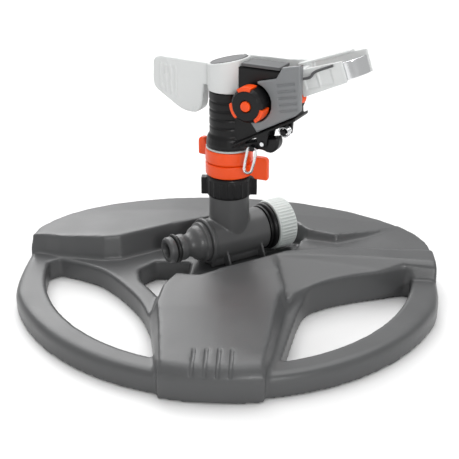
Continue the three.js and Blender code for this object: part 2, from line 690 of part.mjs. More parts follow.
const SOCKET_DEPTH = 6;
place(head, 'spindle', turned([
  [WATER_R, flangeTop - 2], [RISER_BORE_R - GAP, flangeTop - 2], [RISER_BORE_R - GAP, flangeTop],
  [SPINDLE_R, flangeTop], [SPINDLE_R, BODY_Z + SOCKET_DEPTH], [WATER_R, BODY_Z + SOCKET_DEPTH],
], 24), 'dark');

// A form turned about Z, moved so that its axis is the jet's line.
function onJet(points, sides) {
  const geometry = laid(points, sides);
  geometry.rotateY(-BARREL_RISE * DEG);
  geometry.translate(0, 0, BARREL_Z);
  return geometry;
}

const NOZZLE_SEAT = 8;
const BREAKER_AT = BARREL_LENGTH - NOZZLE_SEAT - 3; // along the jet
const MOUTH_X = BARREL_LENGTH * Math.cos(BARREL_RISE * DEG);
const FRAME_TOP = BODY_TOP + 17.4;
const TRIP_X = 26.5;
const TRIP_Z = BODY_Z + 7.6;
const keelZ = (x) => BODY_Z + 4 + (x - 8) * 0.553;

function neckProfile() {
  const points = [[0, BODY_Z], [STOP_R - 0.6, BODY_Z], [STOP_R - 0.6, BODY_Z + 2.4], [BODY_R + 1.2, BODY_Z + 6],
    [BODY_R, BODY_Z + 7.4]];
  const bands = 5;
  const pitch = (BODY_HEIGHT - 7.4) / bands;
  for (let i = 1; i < bands; i += 1) {
    const z = BODY_Z + 7.4 + i * pitch;
    points.push([BODY_R, z - 1], [BODY_R - 0.8, z - 0.4], [BODY_R, z + 0.2]);
  }
  points.push([BODY_R, BODY_TOP], [0, BODY_TOP]);
  return points;
}

function headBody() {
  const flank = new THREE.Shape();
  flank.moveTo(2, BODY_Z + 3);
  flank.lineTo(9, keelZ(9));
  flank.lineTo(MOUTH_X + 3, keelZ(MOUTH_X + 3));
  flank.lineTo(MOUTH_X + 2, jetZ(MOUTH_X) + 4);
  flank.lineTo(35, FRAME_TOP - 1);
  flank.lineTo(9, FRAME_TOP - 1);
  flank.lineTo(9, BODY_TOP - 3);
  flank.lineTo(2, BODY_TOP - 3);
  const keel = polygon([[7, keelZ(7) - 1.4], [MOUTH_X + 4, keelZ(MOUTH_X + 4) - 1.4],
    [MOUTH_X + 4, keelZ(MOUTH_X + 4) + 0.5], [7, keelZ(7) + 0.5]]);
  const lug = new THREE.Shape();
  lug.moveTo(TRIP_X - 4, keelZ(TRIP_X - 4) - 0.8);
  lug.lineTo(TRIP_X - 2.6, TRIP_Z);
  lug.absarc(TRIP_X, TRIP_Z, 2.6, Math.PI, 2 * Math.PI, false);
  lug.lineTo(TRIP_X + 4, keelZ(TRIP_X + 4) - 0.8);
  const knobBoss = rod(6.5, -1, 1.6, 28);
  knobBoss.rotateX(Math.PI / 2);
  knobBoss.translate(KNOB_X, -BODY_NEAR, KNOB_Z);
  const springPost = rod(1.6, 0, 7.4, 16);
  springPost.rotateX(Math.PI / 2);
  springPost.translate(TRIP_X + 11, -1, TRIP_Z + 7.4);
  const postLug = sided(polygon([[TRIP_X + 8, keelZ(TRIP_X + 8) - 0.8], [TRIP_X + 8.6, TRIP_Z + 5.4],
    [TRIP_X + 13.4, TRIP_Z + 5.4], [TRIP_X + 14, keelZ(TRIP_X + 14) - 0.8]]), -1.6, 0.6);
  const pinHole = rod(1.2 + GAP, -14, 14, 16);
  pinHole.rotateX(Math.PI / 2);
  pinHole.translate(TRIP_X, 0, TRIP_Z);
  const knobHole = rod(2.5 + GAP, 5.4, 20, 20);
  knobHole.rotateX(Math.PI / 2);
  knobHole.translate(KNOB_X, 0, KNOB_Z);
  const breakerHole = rod(1.2 + GAP, 0, BARREL_R + 3.5, 16);
  breakerHole.translate(BREAKER_AT, 0, 0);
  breakerHole.rotateY(-BARREL_RISE * DEG);
  breakerHole.translate(0, 0, BARREL_Z);
  return cut(
    join(
      solid(turned(neckProfile(), 32)),
      solid(onJet([[0, 0], [BARREL_R, 0], [BARREL_R, BARREL_LENGTH], [0, BARREL_LENGTH]], 24)),
      solid(sided(flank, -BODY_NEAR, BODY_FAR, 0.8)),
      solid(sided(keel, -11, 7)),
      solid(sided(lug, -2.4, -0.8)),
      solid(sided(lug, -11, -9.6)),
      solid(knobBoss),
      solid(springPost),
      solid(postLug),
    ),
    solid(rod(SPINDLE_R + GAP, BODY_Z - 1, BODY_Z + SOCKET_DEPTH + GAP, 28)),
    solid(rod(WATER_R, BODY_Z, BARREL_Z + 1, 24)),
    solid(onJet([[0, 0], [BARREL_BORE_R, 0], [BARREL_BORE_R, BARREL_LENGTH + 2], [0, BARREL_LENGTH + 2]], 24)),
    solid(onJet([[0, BARREL_LENGTH - NOZZLE_SEAT], [5.8, BARREL_LENGTH - NOZZLE_SEAT], [5.8, BARREL_LENGTH],
      [6.8, BARREL_LENGTH], [6.8, BARREL_LENGTH + 9], [0, BARREL_LENGTH + 9]], 24)),
    solid(rod(HUB_R + 0.6, BODY_TOP, BODY_TOP + 60, 28)),
    solid(rod(PIN_R + GAP, BODY_TOP - 8, BODY_TOP + 1, 20)),
    solid(knobHole),
    solid(pinHole),
    solid(breakerHole),
  );
}

place(head, 'head_body', headBody(), 'black');

place(head, 'jet_nozzle', onJet([
  [3.2, BARREL_LENGTH - NOZZLE_SEAT + GAP], [5.5, BARREL_LENGTH - NOZZLE_SEAT + GAP],
  [5.5, BARREL_LENGTH + 0.6],
  [6.4, BARREL_LENGTH + 0.6], [6.4, BARREL_LENGTH + 2.2], [2.6, BARREL_LENGTH + 2.2],
], 24), 'orange');

// Dark plate that closes the top of the frame beside the hub.
function frameCap() {
  const plate = box(12, 35, -BODY_NEAR - 0.4, BODY_FAR + 0.4, FRAME_TOP - 1 + GAP, FRAME_TOP + 1);
  return cut(solid(plate), solid(rod(HUB_R + 0.8, BODY_TOP, BODY_TOP + 60, 28)));
}

place(head, 'frame_cap', frameCap(), 'dark');

// Grey side cover, scooped round the knob, with five moulded grooves.
const COVER_NEAR = -BODY_NEAR - GAP - COVER_T;
function sideCover() {
  const outline = polygon([
    [19, keelZ(19) + 9], [23, keelZ(23) + 1.6], [MOUTH_X + 3.6, keelZ(MOUTH_X + 3.6) + 1.4],
    [MOUTH_X + 7, keelZ(MOUTH_X + 7) + 3.2], [MOUTH_X + 6, FRAME_TOP + 4.2], [MOUTH_X - 4.2, FRAME_TOP + 2],
    [34, FRAME_TOP - 4.6], [23, FRAME_TOP - 7.4],
  ]);
  const scoop = rod(KNOB_R + 1.7, -1, 20, 32);
  scoop.rotateX(Math.PI / 2);
  scoop.translate(KNOB_X, 0, KNOB_Z);
  const wallFoot = keelZ(MOUTH_X + 4) + 6;
  const returnWall = box(MOUTH_X + 4.2, MOUTH_X + 6, COVER_NEAR + 1, -6.6, wallFoot, FRAME_TOP + 3);
  const grooves = [0, 1, 2, 3, 4].map((i) => {
    const groove = rod(0.75, 0, 11, 10);
    groove.rotateY((90 - 13) * DEG);
    groove.translate(34.5 + 0.5 * i, COVER_NEAR - 0.1, FRAME_TOP - 8.2 - 3.5 * i);
    return solid(groove);
  });
  return cut(
    join(solid(sided(outline, COVER_NEAR, -BODY_NEAR - GAP, 0.7)), solid(returnWall)),
    solid(scoop),
    ...grooves,
  );
}

place(head, 'side_cover', sideCover(), 'cover');

// ---------------------------------------------------------------- jet adjuster
const knobGroup = new THREE.Group();
knobGroup.position.set(KNOB_X, -BODY_NEAR - 1.6 - GAP, KNOB_Z);
knobGroup.rotation.x = Math.PI / 2;
head.add(knobGroup);

const GRIP_ANGLES = [100, -32, 205];
function gripBlock(turn, clearance) {
  const half = (25 + clearance * 4) * DEG;
  const shape = new THREE.Shape();
  const inner = KNOB_R - GRIP_DEPTH - clearance;
  const outer = KNOB_R + 0.7 + clearance * 10;
  shape.absarc(0, 0, outer, -half, half, false);
  shape.absarc(0, 0, inner, half, -half, true);
  const depth = KNOB_DEPTH - 2.2 + 2 * clearance;
  const block = new THREE.ExtrudeGeometry(shape, { depth, bevelEnabled: false, curveSegments: 6 });
  block.translate(0, 0, 1.4 - clearance);
  block.rotateZ(turn * DEG);
  return solid(block);
}

function knobDrum() {
  const drum = turned([[0, -4], [2.5, -4], [2.5, 0], [KNOB_R, 0], [KNOB_R, KNOB_DEPTH - 2],
    [KNOB_R - 1.6, KNOB_DEPTH], [3.4, KNOB_DEPTH], [3.2, KNOB_DEPTH - 1.6], [0, KNOB_DEPTH - 1.6]], 28);
  return cut(solid(drum), ...GRIP_ANGLES.map((turn) => gripBlock(turn, GAP)));
}

place(knobGroup, 'adjust_knob', knobDrum(), 'black');
GRIP_ANGLES.forEach((turn, i) => {
  place(knobGroup, `knob_grip_${i + 1}`, gripBlock(turn, 0), 'orange');
});
place(knobGroup, 'knob_button', turned([
  [0, KNOB_DEPTH - 1.6 + GAP], [2.9, KNOB_DEPTH - 1.6 + GAP], [2.9, KNOB_DEPTH + 0.2], [2.2, KNOB_DEPTH + 0.8],
  [0, KNOB_DEPTH + 0.8],
], 24), 'orange');

function jetBreaker() {
  const pin = turned([[0, 4.4], [0.8, 4.4], [1.2, 5.2], [1.2, 9.4], [0, 9.4]], 16);
  pin.translate(BREAKER_AT, 0, 0);
  pin.rotateY(-BARREL_RISE * DEG);
  pin.translate(0, 0, BARREL_Z);
  return solid(pin);
}

place(head, 'jet_breaker', jetBreaker(), 'steel');

// ---------------------------------------------------------------- impact arm
const vaneOutline = () => {
  const shape = new THREE.Shape();
  shape.moveTo(-9, HUB_TOP - 2.6);
  shape.lineTo(-VANE_REACH + 6, HUB_TOP - 2.2);
  shape.quadraticCurveTo(-VANE_REACH + 1, HUB_TOP - 2.6, -VANE_REACH + 0.4, HUB_TOP - 7);
  shape.lineTo(-VANE_REACH, HUB_TOP - 16);
  shape.quadraticCurveTo(-VANE_REACH, HUB_TOP - 21, -VANE_REACH + 3.4, HUB_TOP - 23);
  shape.lineTo(-VANE_REACH + 16, HUB_TOP - 30.6);
  shape.quadraticCurveTo(-VANE_REACH + 21, HUB_TOP - 33.2, -23, HUB_TOP - 33);
  shape.quadraticCurveTo(-16, HUB_TOP - 33, -15.4, HUB_TOP - 26);
  shape.lineTo(-14.6, HUB_TOP - 15.6);
  shape.lineTo(-9, HUB_TOP - 15.6);
  return shape;
};

// The deflector bay: two walls along the jet, joined by the roof strip at the pivot end.
const BAY_RISE = 20;
const BAY_X = 45;
const bayLength = (SPOON_REACH - BAY_X) / Math.cos(BAY_RISE * DEG);
function inBay(geometry) {
  geometry.rotateY(-BAY_RISE * DEG);
  geometry.translate(BAY_X, 0, jetZ(BAY_X) + 4.6);
  return geometry;
}

const BAY_HALF = 7.4;
const WING_LIFT = 2.2; // the far wall stands this much higher than the near one, and carries the wing
const DEFLECTOR_REACH = 12.4; // how much of the bay's end the bright plate takes
const bayWall = (y0, y1, lift, length) => inBay(sided(polygon([
  [0, -BAY_HALF], [length, -BAY_HALF + (3.2 * length) / bayLength],
  [length, BAY_HALF - (1.6 * length) / bayLength + lift], [0, BAY_HALF + lift],
]), y0, y1));

function impactArm() {
  const slantCut = box(-40, 40, -40, 40, 0, 40);
  slantCut.rotateY(-HUB_SLANT * DEG);
  slantCut.translate(0, 0, HUB_TOP);
  const capSeat = turned([[0, -1.2], [HUB_R - 1.2, -1.2], [HUB_R - 1.2, 8], [0, 8]], 24);
  capSeat.rotateY(-HUB_SLANT * DEG);
  capSeat.translate(0, 0, HUB_TOP);
  const ribTops = [0, 1, 2, 3].map((i) => {
    const rib = turned([[0, 0], [0.8, 1], [0.8, 15 + i], [0, 16 + i]], 8);
    rib.translate(-VANE_REACH + 6 + 3.3 * i, -VANE_T / 2, HUB_TOP - 21.5 - 1.4 * i);
    return solid(rib);
  });
  const pocket = sided(polygon([[-VANE_REACH + 3, HUB_TOP - 19], [-24, HUB_TOP - 30], [-18, HUB_TOP - 28],
    [-17, HUB_TOP - 6], [-VANE_REACH + 4, HUB_TOP - 6]]), -VANE_T / 2 + 2.2, VANE_T / 2 + 1);
  const pocketRib = box(-33, -31, -VANE_T / 2 + 1, VANE_T / 2, HUB_TOP - 29, HUB_TOP - 5);
  const beamTop = HUB_TOP + 1.6;
  const beam = sided(polygon([[4, beamTop - 7], [BAY_X + 3, beamTop - 7], [BAY_X + 3, beamTop + 2], [34, beamTop + 0.6],
    [4, beamTop]]), 8, 10.4);
  const roof = inBay(box(-0.4, 4, -4.6, 10.4, BAY_HALF - 1.8, BAY_HALF));
  const wing = inBay(box(-3, bayLength - 8, 5.6, 10.4, BAY_HALF + WING_LIFT - 1.4, BAY_HALF + WING_LIFT));
  const WINDOW_DEPTH = 0.5;
  const windows = [[3.6, 11], [12, 19.4]].map(([a, b]) =>
    solid(inBay(box(a, b, -5, -4.6 + WINDOW_DEPTH, -BAY_HALF + 3.2, BAY_HALF - 3.2))));
  const hub = cut(
    join(solid(rod(HUB_R, HUB_Z, HUB_TOP + 6, 48)), solid(beam)),
    solid(slantCut),
  );
  const body = join(hub, solid(sided(vaneOutline(), -VANE_T / 2, VANE_T / 2, 0.7)));
  return cut(
    join(
      cut(body, solid(pocket)),
      solid(pocketRib),
      ...ribTops,
      solid(beam),
      solid(roof),
      solid(wing),
      cut(solid(bayWall(-4.6, -3.2, 0, bayLength - DEFLECTOR_REACH + 2)), ...windows),
      solid(bayWall(9, 10.4, WING_LIFT, bayLength - 1)),
    ),
    solid(capSeat),
    solid(turned([[4.4, HUB_Z - 1], [HUB_R - 2.4, HUB_Z - 1], [HUB_R - 2.4, HUB_Z + 11], [4.4, HUB_Z + 11]], 24)),
    solid(rod(PIN_R + GAP, HUB_Z - 1, HUB_TOP + 8, 20)),
  );
}

place(head, 'impact_arm', impactArm(), 'light');

function hubCap() {
  const discR = HUB_R - 1.2 - GAP;
  const disc = turned([[0, -1.2 + GAP], [discR, -1.2 + GAP], [discR, 0.2], [0, 0.5]]);
  disc.rotateY(-HUB_SLANT * DEG);
  disc.translate(0, 0, HUB_TOP);
  return disc;
}

place(head, 'hub_cap', hubCap(), 'dark');
place(head, 'arm_pivot_pin', turned([
  [0, BODY_TOP - 8 + GAP], [PIN_R, BODY_TOP - 8 + GAP], [PIN_R, HUB_TOP - 2.4], [PIN_R - 0.5, HUB_TOP - 1.9],
  [0, HUB_TOP - 1.9],
], 20), 'steel');

const armSpring = place(head, 'arm_return_spring', coil(7, 0.7, 6.6, 3.5), 'steel');
armSpring.position.z = HUB_Z + 1.6;

// Bright deflector: a curved plate at the end of the bay that turns the jet aside, with its stay.
function deflector() {
  const sheet = new THREE.Shape();
  const reach = DEFLECTOR_REACH;
  const plate = 1.3;
  const away = bayLength - reach;
  sheet.moveTo(away - 6, -3.2 + GAP);
  sheet.lineTo(away, -3.2 + GAP);
  sheet.absarc(away, reach - 3.2 + GAP - 1, reach - 1, -Math.PI / 2, -0.12, false);
  sheet.lineTo(away + reach - 1 - plate, reach - 5.6);
  sheet.absarc(away, reach - 3.2 + GAP - 1, reach - 1 - plate, -0.12, -Math.PI / 2, true);
  sheet.lineTo(away - 6, -3.2 + GAP + plate);
  const geometry = new THREE.ExtrudeGeometry(sheet, { depth: 9.4, bevelEnabled: false, curveSegments: 12 });
  geometry.translate(0, 0, -4.2);
  return inBay(geometry);
}

place(head, 'deflector', deflector(), 'steel');

const STAY_R = 0.8;
const STAY_Y = -4.6 - GAP - STAY_R;
const stayPoints = [[-2, 3.4], [8, 2.4], [10.4, 4.2], [22, 5.4]].map(([a, h]) => [a, STAY_Y, h]);
place(head, 'deflector_stay', inBay(wire(stayPoints, STAY_R, 18)), 'dark');

// ---------------------------------------------------------------- part-circle trip
const TRIP_Y0 = -9.3;
const TRIP_Y1 = -2.7;
const WIRE_LUG_X = 20.6;
const WIRE_LUG_HALF = 1.2;
const WIRE_Y = -10.9;
const WIRE_Z = TRIP_Z - 3.2;

function tripLever() {
  const shape = new THREE.Shape();
  shape.moveTo(14.6, WIRE_Z - 1.4);
  shape.lineTo(21, WIRE_Z - 1.6);
  shape.quadraticCurveTo(24, WIRE_Z - 0.8, 26.4, WIRE_Z - 1.2);
  shape.quadraticCurveTo(32, TRIP_Z - 7, 35, TRIP_Z - 1.6);
  shape.quadraticCurveTo(36.6, TRIP_Z + 2, 34.6, TRIP_Z + 4.4);
  shape.lineTo(30, TRIP_Z + 3.4);
  shape.lineTo(23, TRIP_Z + 1.2);
  shape.lineTo(14.6, WIRE_Z + 1.6);
  const [lugX0, lugX1] = [WIRE_LUG_X - WIRE_LUG_HALF, WIRE_LUG_X + WIRE_LUG_HALF];
  const wireLug = box(lugX0, lugX1, WIRE_Y - 1.9, TRIP_Y0 + 1, WIRE_Z - 1.5, WIRE_Z + 1.5);
  const pinHole = rod(1.2 + GAP, 0, 14, 16);
  pinHole.rotateX(Math.PI / 2);
  pinHole.translate(TRIP_X, 0, TRIP_Z);
  const wireHole = rod(WIRE_R + GAP, -3, 3, 12);
  wireHole.rotateY(Math.PI / 2);
  wireHole.translate(WIRE_LUG_X, WIRE_Y, WIRE_Z);
  return cut(
    join(solid(sided(shape, TRIP_Y0, TRIP_Y1, 0.8, 5)), solid(wireLug)),
    solid(pinHole),
    solid(wireHole),
  );
}

place(head, 'trip_lever', tripLever(), 'black');

const tripPin = rod(1.2, 0.6, 11.4, 16);
tripPin.rotateX(Math.PI / 2);
tripPin.translate(TRIP_X, 0, TRIP_Z);
place(head, 'trip_pin', tripPin, 'steel');

// Steel trip wire: a narrow U that hangs beside the stop rings, its ends hooked in the lever.
const WIRE_HALF = 2.7;
const WIRE_LEAN = 0.19; // how far the wire leans back for each millimetre that it hangs
const WIRE_DROP = WIRE_Z - (UPPER_STOP_Z - 1.6);
const wireSide = [[0.5, 0], [1.4, 0], [WIRE_HALF - 0.2, -0.3], [WIRE_HALF, -1.4], [WIRE_HALF, 0.35 * -WIRE_DROP],
  [WIRE_HALF - 0.1, 0.7 * -WIRE_DROP], [WIRE_HALF - 0.7, 0.94 * -WIRE_DROP], [0, -WIRE_DROP]];
const wirePoints = [...wireSide.map(([x, z]) => [-x, z]), ...wireSide.slice(0, -1).reverse()];
place(head, 'trip_wire', wire(
  wirePoints.map(([x, z]) => [WIRE_LUG_X + x + z * WIRE_LEAN, WIRE_Y + z * 0.03, WIRE_Z + z]), WIRE_R, 36,
), 'steel');

const tripSpring = coil(2.7, 0.5, 4.2, 3.5);
tripSpring.rotateX(Math.PI / 2);
tripSpring.translate(TRIP_X + 11, -2.6, TRIP_Z + 7.4);
place(head, 'trip_spring', tripSpring, 'steel');

export default root;
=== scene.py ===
# Impact sprinkler on a ring sled base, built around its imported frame. Metres, +Z up, front towards -Y.
import json
import math

import bpy
from mathutils import Matrix, Vector

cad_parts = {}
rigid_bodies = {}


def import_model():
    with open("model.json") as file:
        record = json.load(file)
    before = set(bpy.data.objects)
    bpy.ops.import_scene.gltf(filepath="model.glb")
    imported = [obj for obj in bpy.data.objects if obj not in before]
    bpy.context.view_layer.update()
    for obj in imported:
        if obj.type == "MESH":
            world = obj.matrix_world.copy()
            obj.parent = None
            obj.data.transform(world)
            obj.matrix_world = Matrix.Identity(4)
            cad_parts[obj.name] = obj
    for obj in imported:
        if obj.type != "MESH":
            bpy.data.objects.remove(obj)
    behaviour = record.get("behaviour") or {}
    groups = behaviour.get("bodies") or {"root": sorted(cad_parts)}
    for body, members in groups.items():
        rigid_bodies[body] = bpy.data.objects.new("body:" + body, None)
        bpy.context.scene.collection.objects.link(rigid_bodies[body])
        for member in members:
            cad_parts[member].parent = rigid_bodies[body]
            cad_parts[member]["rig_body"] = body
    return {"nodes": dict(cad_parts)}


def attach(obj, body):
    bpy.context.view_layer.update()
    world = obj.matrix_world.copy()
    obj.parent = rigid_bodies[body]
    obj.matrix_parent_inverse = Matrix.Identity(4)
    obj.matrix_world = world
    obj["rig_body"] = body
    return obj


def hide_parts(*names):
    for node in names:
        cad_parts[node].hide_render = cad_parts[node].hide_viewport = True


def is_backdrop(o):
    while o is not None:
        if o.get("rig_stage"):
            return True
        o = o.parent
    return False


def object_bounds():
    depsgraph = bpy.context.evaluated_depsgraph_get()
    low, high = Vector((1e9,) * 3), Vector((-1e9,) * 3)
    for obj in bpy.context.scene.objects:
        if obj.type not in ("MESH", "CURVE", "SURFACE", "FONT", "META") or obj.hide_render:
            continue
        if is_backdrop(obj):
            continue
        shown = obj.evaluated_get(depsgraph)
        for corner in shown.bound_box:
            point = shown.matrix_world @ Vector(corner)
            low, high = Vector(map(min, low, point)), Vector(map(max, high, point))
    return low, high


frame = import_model()
frame_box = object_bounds()

# ---- Camera, floor and lights ---------------------------------------------------------------
# The sprinkler stands on a plain white table under a wide soft light from above. A second one from
# behind puts a sheen on its tops, and a soft spot from the front lifts the head and the tee.
scene = bpy.context.scene
scene.view_settings.view_transform = "Standard"
lens = bpy.data.cameras.new("camera")
lens.sensor_width = 36
lens.lens = 67.02
camera = bpy.data.objects.new("camera", lens)
scene.collection.objects.link(camera)
camera.location = (0.02727, -0.46986, 0.25216)
aimed_at = Vector((0.00017, 0.00001, 0.03105))
camera.rotation_euler = (aimed_at - camera.location).to_track_quat("-Z", "Y").to_euler()
scene.camera = camera

bpy.ops.object.select_all(action="DESELECT")
bpy.ops.mesh.primitive_plane_add(size=8, location=(0, 0, -0.0004))
floor = bpy.context.object
floor.name = "floor"
floor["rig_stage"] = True
white_table = bpy.data.materials.new("white_table")
white_table.use_nodes = True
table_shader = white_table.node_tree.nodes["Principled BSDF"]
table_shader.inputs["Base Color"].default_value = (0.8, 0.8, 0.8, 1)
table_shader.inputs["Roughness"].default_value = 0.7
floor.data.materials.append(white_table)

world = bpy.data.worlds.new("studio")
scene.world = world
world.use_nodes = True
world.node_tree.nodes["Background"].inputs["Color"].default_value = (1, 1, 1, 1)
world.node_tree.nodes["Background"].inputs["Strength"].default_value = 0.52

overhead = bpy.data.lights.new("overhead", "SUN")
overhead.angle = math.radians(60)
overhead.energy = 2.2
sheen = bpy.data.lights.new("sheen", "SUN")
sheen.angle = math.radians(40)
sheen.energy = 1.4
fill = bpy.data.lights.new("fill", "SPOT")
fill.energy = 75
fill.spot_size = math.radians(13)
fill.spot_blend = 0.5
fill.shadow_soft_size = 0.25
for lamp, place, target in (
    (overhead, (0.0, 0.3, 1.0), (0, 0, 0)),
    (sheen, (-0.45, 1.0, 0.7), (0, 0, 0)),
    (fill, (0.35, -0.95, 0.5), (0.02, 0, 0.095)),
):
    light = bpy.data.objects.new(lamp.name, lamp)
    scene.collection.objects.link(light)
    light.location = place
    light.rotation_euler = (Vector(target) - light.location).to_track_quat("-Z", "Y").to_euler()


# ---- Ring base --------------------------------------------------------------------------------
# One open-bottomed injection moulding in mid-grey polypropylene: a ring with a raised far block,
# a raised front block and an arm between them. Its edges are all softly rounded.
MM = 0.001


def moulded(name, colour, roughness, grain=0.12, mottle=0.08, grain_size=900, coat=0.0, gloss=0.45):
    """Moulded plastic: slightly uneven colour, a fine spark-eroded grain and patches of more shine."""
    made = bpy.data.materials.new(name)
    made.use_nodes = True
    nodes = made.node_tree.nodes
    links = made.node_tree.links
    shader = nodes["Principled BSDF"]
    shader.inputs["Specular IOR Level"].default_value = gloss
    shader.inputs["Coat Weight"].default_value = coat
    shader.inputs["Coat Roughness"].default_value = 0.12
    place = nodes.new("ShaderNodeTexCoord")
    cloud = nodes.new("ShaderNodeTexNoise")
    cloud.inputs["Scale"].default_value = 38
    cloud.inputs["Detail"].default_value = 5
    links.new(place.outputs["Object"], cloud.inputs["Vector"])
    tint = nodes.new("ShaderNodeValToRGB")
    tint.color_ramp.elements[0].position = 0.3
    tint.color_ramp.elements[1].position = 0.7
    tint.color_ramp.elements[0].color = (*[c * (1 - mottle) for c in colour], 1)
    tint.color_ramp.elements[1].color = (*[min(1, c * (1 + mottle)) for c in colour], 1)
    links.new(cloud.outputs["Fac"], tint.inputs["Fac"])
    links.new(tint.outputs["Color"], shader.inputs["Base Color"])
    shine = nodes.new("ShaderNodeMapRange")
    shine.inputs["From Min"].default_value = 0.3
    shine.inputs["From Max"].default_value = 0.7
    shine.inputs["To Min"].default_value = roughness - 0.05
    shine.inputs["To Max"].default_value = roughness + 0.06
    links.new(cloud.outputs["Fac"], shine.inputs["Value"])
    links.new(shine.outputs["Result"], shader.inputs["Roughness"])
    sparks = nodes.new("ShaderNodeTexNoise")
    sparks.inputs["Scale"].default_value = grain_size
    sparks.inputs["Detail"].default_value = 3
    links.new(place.outputs["Object"], sparks.inputs["Vector"])
    rough = nodes.new("ShaderNodeBump")
    rough.inputs["Strength"].default_value = grain
    rough.inputs["Distance"].default_value = 0.0004
    links.new(sparks.outputs["Fac"], rough.inputs["Height"])
    links.new(rough.outputs["Normal"], shader.inputs["Normal"])
    return made


def start(obj, name):
    """Names a piece and makes it the only one selected."""
    bpy.ops.object.select_all(action="DESELECT")
    obj.name = name
    obj.select_set(True)
    bpy.context.view_layer.objects.active = obj
    return obj


def copy_of(node, name):
    """A frame node's shape as a new mesh, its loose triangles joined up."""
    source = frame["nodes"][node]
    made = bpy.data.objects.new(name, source.data.copy())
    made.data.materials.clear()
    scene.collection.objects.link(made)
    start(made, name)
    bpy.ops.object.mode_set(mode="EDIT")
    bpy.ops.mesh.select_all(action="SELECT")
    bpy.ops.mesh.remove_doubles(threshold=0.000004)
    bpy.ops.object.mode_set(mode="OBJECT")
    made.data.normals_split_custom_set([(0, 0, 0)] * len(made.data.loops))
    return made


def apply_all(obj):
    """Applies every modifier of a piece, in order."""
    start(obj, obj.name)
    for modifier in list(obj.modifiers):
        bpy.ops.object.modifier_apply(modifier=modifier.name)


def soften(obj, cell, passes):
    """Closes a shape into one skin of small even cells and eases its edges, as a mould's are."""
    skin = obj.modifiers.new("skin", "REMESH")
    skin.mode = "VOXEL"
    skin.voxel_size = cell * MM
    soft = obj.modifiers.new("soft", "SMOOTH")
    soft.factor = 0.5
    soft.iterations = passes
    apply_all(obj)
    return obj


def complete(obj, material, slot, *nodes, angle=40):
    """Gives a piece its material and fixes it where the nodes it stands for are fixed. The slot argument is
    not used.
    """
    start(obj, obj.name)
    obj.data.materials.clear()
    obj.data.materials.append(material)
    bpy.ops.object.shade_smooth_by_angle(angle=math.radians(angle))
    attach(obj, frame["nodes"][nodes[0]]["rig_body"])
    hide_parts(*nodes)
    return obj


def difference(obj, tool):
    """Cuts tool out of obj and throws it away."""
    away = obj.modifiers.new("cut", "BOOLEAN")
    away.operation = "DIFFERENCE"
    away.solver = "EXACT"
    away.object = tool
    apply_all(obj)
    bpy.data.objects.remove(tool)
    return obj


def round_line(name, spots, r, facets):
    """A round bar through points in millimetres."""
    line = bpy.data.curves.new(name, "CURVE")
    line.dimensions = "3D"
    line.bevel_depth = r * MM
    line.bevel_resolution = facets
    line.use_fill_caps = True
    path = line.splines.new("POLY")
    path.points.add(len(spots) - 1)
    for point, spot in zip(path.points, spots):
        point.co = (*[MM * value for value in spot], 1)
    made = bpy.data.objects.new(name, line)
    scene.collection.objects.link(made)
    start(made, name)
    bpy.ops.object.convert(target="MESH")
    return bpy.context.object


grey_moulding = moulded("grey_moulding", (0.076, 0.0775, 0.079), 0.36, grain=0.1, mottle=0.05)
base = soften(copy_of("base_shell", "ring_base"), 1.1, 5)
groove_r = 1.3
groove_lift = 0.3  # its centre line above the surface
end_lift = 1.4  # the same at its ends, where the groove runs out
block_top = 25.5
crown_x, crown_y = 20, -34
bend_x, bend_y = 2000, 700  # radii of the block's crown, across and along
nose_r = 133
nose_top = 21.5
roll, drop = 16, 10.5  # the nose's quarter ellipse, inwards and down
for across in (-10.7, -4.4, 1.9, 8.2):
    spots = []
    for along in (-114, -117, -120, -124):
        fall = (across - crown_x) ** 2 / (2 * bend_x) + (along - crown_y) ** 2 / (2 * bend_y)
        spots.append((across, along, block_top - fall + (end_lift if along == -114 else groove_lift)))
    for angle in (48, 40, 32, 24, 17):
        lift = end_lift if angle == 17 else groove_lift
        reach = nose_r - roll + (roll + lift) * math.cos(math.radians(angle))
        height = nose_top - drop + (drop + lift) * math.sin(math.radians(angle))
        spots.append((across, -math.sqrt(reach ** 2 - across ** 2), height))
    difference(base, round_line("groove", spots, groove_r, 4))
complete(base, grey_moulding, "base_plastic", "base_shell", angle=60)


# ---- Tee --------------------------------------------------------------------------------------
# The darker grey tee that carries the water: a pipe across, a riser up to the head, and four thin
# webs down to its saddle. It is one moulding, screwed to the base from below.
def turned(name, outline, sides=96, edge=0.25):
    """A form turned about Z from (radius, height) points in millimetres, its sharp edges eased."""
    bpy.ops.object.select_all(action="DESELECT")
    bpy.ops.mesh.primitive_plane_add(size=0.001)
    made = start(bpy.context.object, name)
    bpy.ops.object.mode_set(mode="EDIT")
    bpy.ops.mesh.select_all(action="SELECT")
    bpy.ops.mesh.merge(type="CENTER")
    bpy.ops.transform.translate(value=(outline[0][0] * MM, 0, outline[0][1] * MM))
    ends = outline if outline[0][0] == 0 else [*outline, outline[0]]
    for (r0, z0), (r1, z1) in zip(ends, ends[1:]):
        bpy.ops.mesh.extrude_vertices_move(
            TRANSFORM_OT_translate={"value": ((r1 - r0) * MM, 0, (z1 - z0) * MM)}
        )
    bpy.ops.mesh.select_all(action="SELECT")
    bpy.ops.mesh.spin(steps=sides, angle=2 * math.pi, center=(0, 0, 0), axis=(0, 0, 1))
    bpy.ops.mesh.select_all(action="SELECT")
    bpy.ops.mesh.remove_doubles(threshold=0.000004)
    bpy.ops.mesh.normals_make_consistent(inside=False)
    bpy.ops.object.mode_set(mode="OBJECT")
    if edge:
        ease = made.modifiers.new("ease", "BEVEL")
        ease.width = edge * MM
        ease.segments = 2
        ease.limit_method = "ANGLE"
        ease.angle_limit = math.radians(32)
        apply_all(made)
    return made


